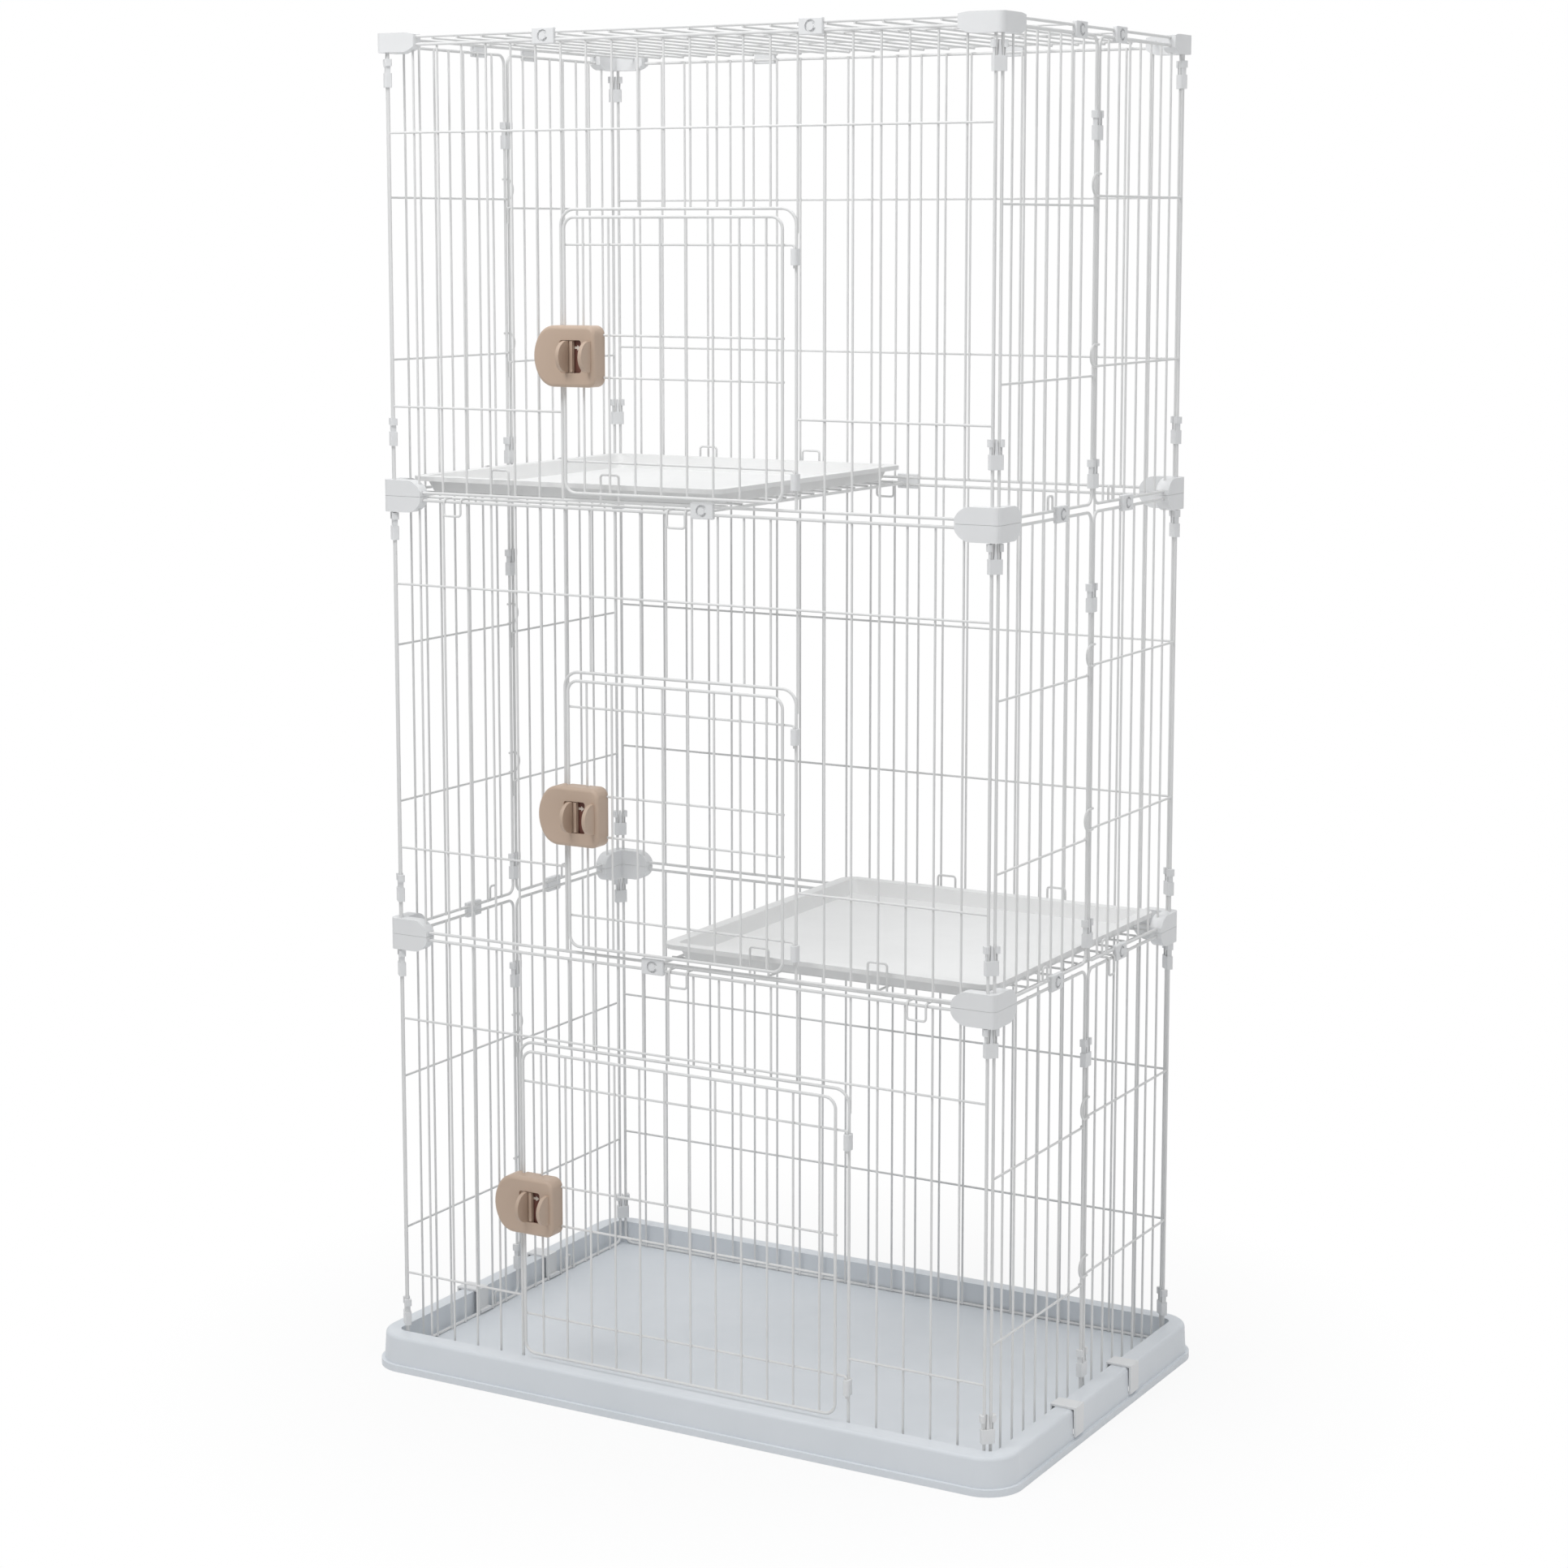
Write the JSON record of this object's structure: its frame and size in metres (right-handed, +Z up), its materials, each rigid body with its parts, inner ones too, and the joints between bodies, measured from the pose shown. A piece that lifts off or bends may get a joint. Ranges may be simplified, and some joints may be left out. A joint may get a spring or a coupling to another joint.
{
  "type": "multi-level wire pet cage",
  "caption": "Tall tiered wire pet cage on a shallow plastic pan, with hinged front doors, sliding latches, clip-on corner joints and hanging shelf boards.",
  "frame": {"origin": "on the floor under the middle of the pan", "axes": "+X to the right along the front, +Y from the front to the back, +Z up"},
  "size_m": [0.9598, 0.6335, 1.7814],
  "materials": {
    "white_wire": "white powder coat",
    "white_plastic": "satin moulded",
    "pan_plastic": "satin moulded",
    "board_plastic": "fine grain",
    "beige_plastic": "satin moulded",
    "brown_plastic": "matt"
  },
  "bodies": {
    "cage": {"front_panel_bottom": "white_wire", "back_panel_bottom": "white_wire", "side_left_front_bottom": "white_wire", "side_left_rear_bottom": "white_wire", "side_right_front_bottom": "white_wire", "side_right_rear_bottom": "white_wire", "front_panel_middle": "white_wire", "back_panel_middle": "white_wire", "side_left_front_middle": "white_wire", "side_left_rear_middle": "white_wire", "side_right_front_middle": "white_wire", "side_right_rear_middle": "white_wire", "front_panel_top": "white_wire", "back_panel_top": "white_wire", "side_left_front_top": "white_wire", "side_left_rear_top": "white_wire", "side_right_front_top": "white_wire", "side_right_rear_top": "white_wire", "roof_panel": "white_wire", "shelf_net_lower": "white_wire", "shelf_loops_lower": "white_wire", "shelf_net_upper": "white_wire", "shelf_loops_upper": "white_wire", "post_clips_bottom": "white_plastic", "hinge_sleeves_bottom": "white_plastic", "post_clips_middle": "white_plastic", "hinge_sleeves_middle": "white_plastic", "post_clips_top": "white_plastic", "hinge_sleeves_top": "white_plastic", "corner_sockets_lower": "white_plastic", "corner_covers_lower": "white_plastic", "edge_clips_lower": "white_plastic", "shelf_board_lower": "board_plastic", "corner_sockets_upper": "white_plastic", "corner_covers_upper": "white_plastic", "edge_clips_upper": "white_plastic", "shelf_board_upper": "board_plastic", "corner_caps_roof": "white_plastic", "edge_clips_roof": "white_plastic", "pan": "pan_plastic", "pan_clips": "white_plastic"},
    "door_leaf_bottom": {"door_bottom": "white_wire", "latch_cover_bottom": "beige_plastic", "latch_base_bottom": "beige_plastic", "latch_indicator_bottom": "brown_plastic"},
    "latch_slide_bottom": {"latch_slider_bottom": "beige_plastic", "latch_bolt_bottom": "beige_plastic"},
    "door_leaf_middle": {"door_middle": "white_wire", "latch_cover_middle": "beige_plastic", "latch_base_middle": "beige_plastic", "latch_indicator_middle": "brown_plastic"},
    "latch_slide_middle": {"latch_slider_middle": "beige_plastic", "latch_bolt_middle": "beige_plastic"},
    "door_leaf_top": {"door_top": "white_wire", "latch_cover_top": "beige_plastic", "latch_base_top": "beige_plastic", "latch_indicator_top": "brown_plastic"},
    "latch_slide_top": {"latch_slider_top": "beige_plastic", "latch_bolt_top": "beige_plastic"}
  },
  "joints": [
    {"name": "door_hinge_bottom", "type": "hinge", "parent": "cage", "child": "door_leaf_bottom", "pos_m": [0.24587, -0.2801, 0.2466], "axis": [0, 0, 1], "range_deg": [0, 165]},
    {"name": "latch_travel_bottom", "type": "slide", "parent": "door_leaf_bottom", "child": "latch_slide_bottom", "axis": [1, 0, 0], "range_m": [0, 0.009]},
    {"name": "door_hinge_middle", "type": "hinge", "parent": "cage", "child": "door_leaf_middle", "pos_m": [0.17022, -0.2801, 0.7871], "axis": [0, 0, 1], "range_deg": [0, 165]},
    {"name": "latch_travel_middle", "type": "slide", "parent": "door_leaf_middle", "child": "latch_slide_middle", "axis": [1, 0, 0], "range_m": [0, 0.009]},
    {"name": "door_hinge_top", "type": "hinge", "parent": "cage", "child": "door_leaf_top", "pos_m": [0.17022, -0.2801, 1.3731], "axis": [0, 0, 1], "range_deg": [0, 165]},
    {"name": "latch_travel_top", "type": "slide", "parent": "door_leaf_top", "child": "latch_slide_top", "axis": [1, 0, 0], "range_m": [0, 0.009]}
  ]
}
